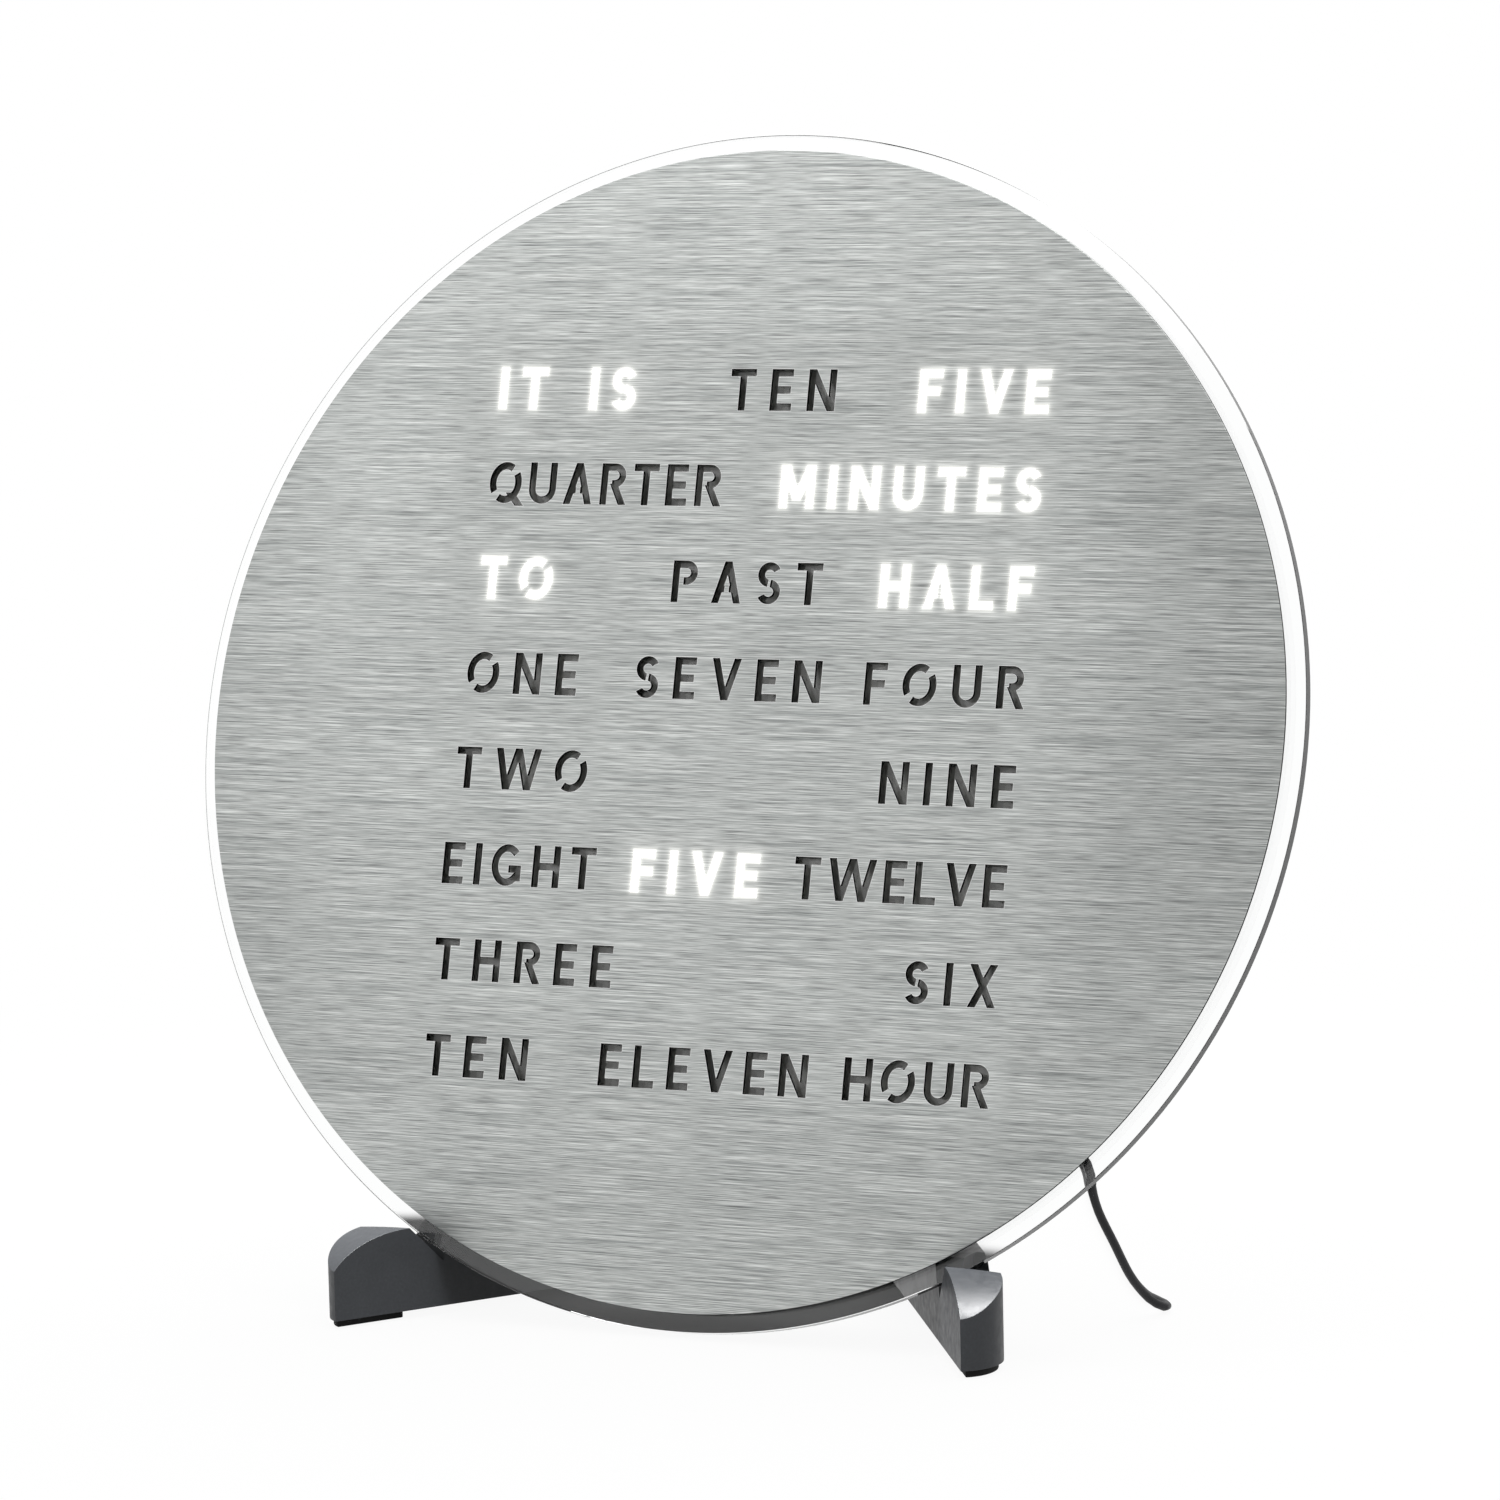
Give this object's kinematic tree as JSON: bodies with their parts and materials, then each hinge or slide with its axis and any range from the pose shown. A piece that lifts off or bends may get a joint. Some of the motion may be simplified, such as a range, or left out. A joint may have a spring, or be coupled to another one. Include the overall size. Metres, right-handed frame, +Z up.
{
  "type": "word clock",
  "caption": "Round table clock that tells the time in lit words cut through a brushed steel dial; the dial's clear disc stands in a V-shaped stand, with a thin supply cord and plug",
  "frame": {"origin": "centre of the footprint of clock and stand, on the table, leaving the supply cord out", "axes": "+X to the viewer's right across the dial, +Y to the rear, +Z up; the dial faces -Y and leans back"},
  "size_m": [0.3012, 0.2648, 0.2914],
  "materials": {
    "dial_steel": "fine level brushing, satin",
    "mask_black": "matt black sheet",
    "clear_sheet": "clear acrylic with a polished edge",
    "opal_sheet": "translucent opal",
    "grid_black": "moulded, matt",
    "strip_white": "flexible strip with light-emitting diodes",
    "carrier_white": "moulded, matt",
    "board_green": "solder mask",
    "chip_black": "moulded",
    "crystal_metal": "drawn can",
    "cell_metal": "satin",
    "terminal_grey": "moulded",
    "button_grey": "moulded, satin",
    "housing_black": "fine moulded grain",
    "cover_black": "fine moulded grain",
    "screw_zinc": "zinc plated",
    "post_metal": "turned",
    "relief_rubber": "matt",
    "cord_black": "smooth satin sheath",
    "stand_anthracite": "satin anthracite coat",
    "pad_rubber": "matt",
    "adapter_black": "fine moulded grain",
    "pin_nickel": "nickel plated"
  },
  "bodies": {
    "stand": {"left_arm": "stand_anthracite", "right_arm": "stand_anthracite", "rear_bridge": "stand_anthracite", "bridge_screw_1": "screw_zinc", "bridge_screw_2": "screw_zinc", "bridge_screw_3": "screw_zinc", "bridge_screw_4": "screw_zinc", "front_pad_left": "pad_rubber", "front_pad_right": "pad_rubber", "rear_pad_left": "pad_rubber", "rear_pad_right": "pad_rubber", "cord_lead": "cord_black", "cord_coil": "cord_black", "cord_tie": "relief_rubber", "adapter_shell": "adapter_black", "plug_pin_1": "pin_nickel", "plug_pin_2": "pin_nickel"},
    "head": {"dial_plate": "dial_steel", "letter_mask": "mask_black", "clear_disc": "clear_sheet", "diffuser_sheet": "opal_sheet", "light_grid": "grid_black", "led_strip_1": "strip_white", "led_strip_2": "strip_white", "led_strip_3": "strip_white", "led_strip_4": "strip_white", "led_strip_5": "strip_white", "led_strip_6": "strip_white", "led_strip_7": "strip_white", "led_strip_8": "strip_white", "led_carrier": "carrier_white", "control_board": "board_green", "control_chip": "chip_black", "clock_crystal": "crystal_metal", "cell_holder": "chip_black", "backup_cell": "cell_metal", "cord_terminal": "terminal_grey", "hour_switch": "chip_black", "minute_switch": "chip_black", "light_switch": "chip_black", "rear_housing": "housing_black", "service_cover": "cover_black", "cover_screw_1": "screw_zinc", "cover_screw_2": "screw_zinc", "cover_screw_3": "screw_zinc", "cover_screw_4": "screw_zinc", "post_1": "post_metal", "post_2": "post_metal", "post_3": "post_metal", "post_4": "post_metal", "housing_screw_1": "screw_zinc", "housing_screw_2": "screw_zinc", "housing_screw_3": "screw_zinc", "housing_screw_4": "screw_zinc", "strain_relief": "relief_rubber", "inner_lead": "cord_black"},
    "hour_button": {"hour_button": "button_grey"},
    "minute_button": {"minute_button": "button_grey"},
    "light_button": {"light_button": "button_grey"}
  },
  "joints": [
    {"name": "head_lift", "type": "slide", "parent": "stand", "child": "head", "axis": [0, 0.2672, 0.9636], "range_m": [0, 0.03]},
    {"name": "hour_press", "type": "slide", "parent": "head", "child": "hour_button", "axis": [0, -0.9636, 0.2672], "range_m": [0, 0.001], "stiffness_N_per_m": 400, "springref_m": -0.001},
    {"name": "minute_press", "type": "slide", "parent": "head", "child": "minute_button", "axis": [0, -0.9636, 0.2672], "range_m": [0, 0.001], "stiffness_N_per_m": 400, "springref_m": -0.001},
    {"name": "light_press", "type": "slide", "parent": "head", "child": "light_button", "axis": [0, -0.9636, 0.2672], "range_m": [0, 0.001], "stiffness_N_per_m": 400, "springref_m": -0.001}
  ]
}
